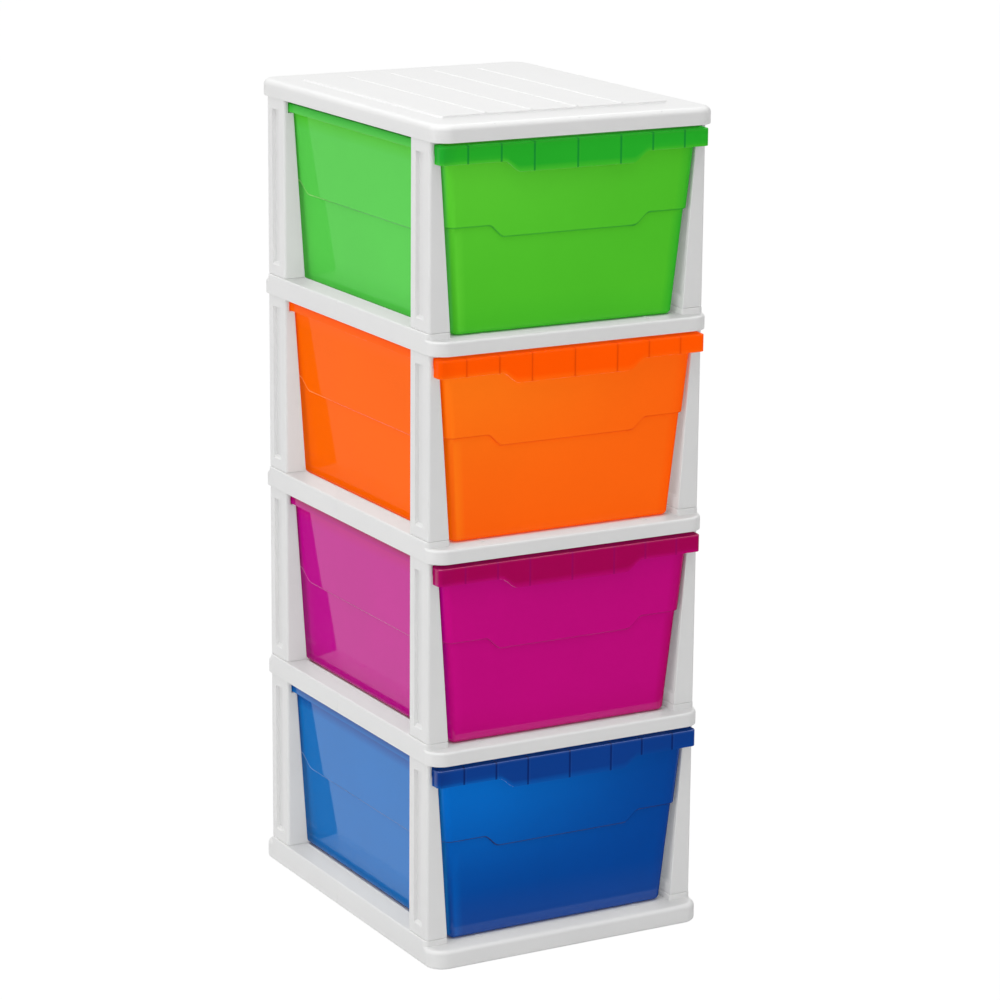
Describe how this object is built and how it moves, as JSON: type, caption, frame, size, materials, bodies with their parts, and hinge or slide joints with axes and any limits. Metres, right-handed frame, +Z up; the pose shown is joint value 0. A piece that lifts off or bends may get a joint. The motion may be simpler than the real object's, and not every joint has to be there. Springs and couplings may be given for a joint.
{
  "type": "drawer tower",
  "caption": "Tall free-standing tower of stacked moulded trays on corner posts, with a translucent pull-out drawer in every bay, for crafts and parts.",
  "frame": {"origin": "on the floor, under the middle of the tower's box", "axes": "+Z up, -Y out of the drawers' fronts, +X to the right seen from the front"},
  "size_m": [0.371, 0.47, 1.0075],
  "materials": {
    "white_polypropylene": "satin injection-moulded polypropylene",
    "blue_polypropylene": "translucent tinted polypropylene, smooth outside",
    "magenta_polypropylene": "translucent tinted polypropylene, smooth outside",
    "orange_polypropylene": "translucent tinted polypropylene, smooth outside",
    "green_polypropylene": "translucent tinted polypropylene, smooth outside"
  },
  "bodies": {
    "carcass": {"base_tray": "white_polypropylene", "shelf_tray_1": "white_polypropylene", "shelf_tray_2": "white_polypropylene", "shelf_tray_3": "white_polypropylene", "top_lid": "white_polypropylene", "post_1_front_left": "white_polypropylene", "post_1_front_right": "white_polypropylene", "post_1_back_left": "white_polypropylene", "post_1_back_right": "white_polypropylene", "post_2_front_left": "white_polypropylene", "post_2_front_right": "white_polypropylene", "post_2_back_left": "white_polypropylene", "post_2_back_right": "white_polypropylene", "post_3_front_left": "white_polypropylene", "post_3_front_right": "white_polypropylene", "post_3_back_left": "white_polypropylene", "post_3_back_right": "white_polypropylene", "post_4_front_left": "white_polypropylene", "post_4_front_right": "white_polypropylene", "post_4_back_left": "white_polypropylene", "post_4_back_right": "white_polypropylene"},
    "drawer_1_body": {"drawer_1": "blue_polypropylene", "drawer_1_rim": "blue_polypropylene", "drawer_1_lip": "blue_polypropylene"},
    "drawer_2_body": {"drawer_2": "magenta_polypropylene", "drawer_2_rim": "magenta_polypropylene", "drawer_2_lip": "magenta_polypropylene"},
    "drawer_3_body": {"drawer_3": "orange_polypropylene", "drawer_3_rim": "orange_polypropylene", "drawer_3_lip": "orange_polypropylene"},
    "drawer_4_body": {"drawer_4": "green_polypropylene", "drawer_4_rim": "green_polypropylene", "drawer_4_lip": "green_polypropylene"}
  },
  "joints": [
    {"name": "drawer_1_slide", "type": "slide", "parent": "carcass", "child": "drawer_1_body", "axis": [0, -1, 0], "range_m": [0, 0.28]},
    {"name": "drawer_2_slide", "type": "slide", "parent": "carcass", "child": "drawer_2_body", "axis": [0, -1, 0], "range_m": [0, 0.28]},
    {"name": "drawer_3_slide", "type": "slide", "parent": "carcass", "child": "drawer_3_body", "axis": [0, -1, 0], "range_m": [0, 0.28]},
    {"name": "drawer_4_slide", "type": "slide", "parent": "carcass", "child": "drawer_4_body", "axis": [0, -1, 0], "range_m": [0, 0.28]}
  ]
}
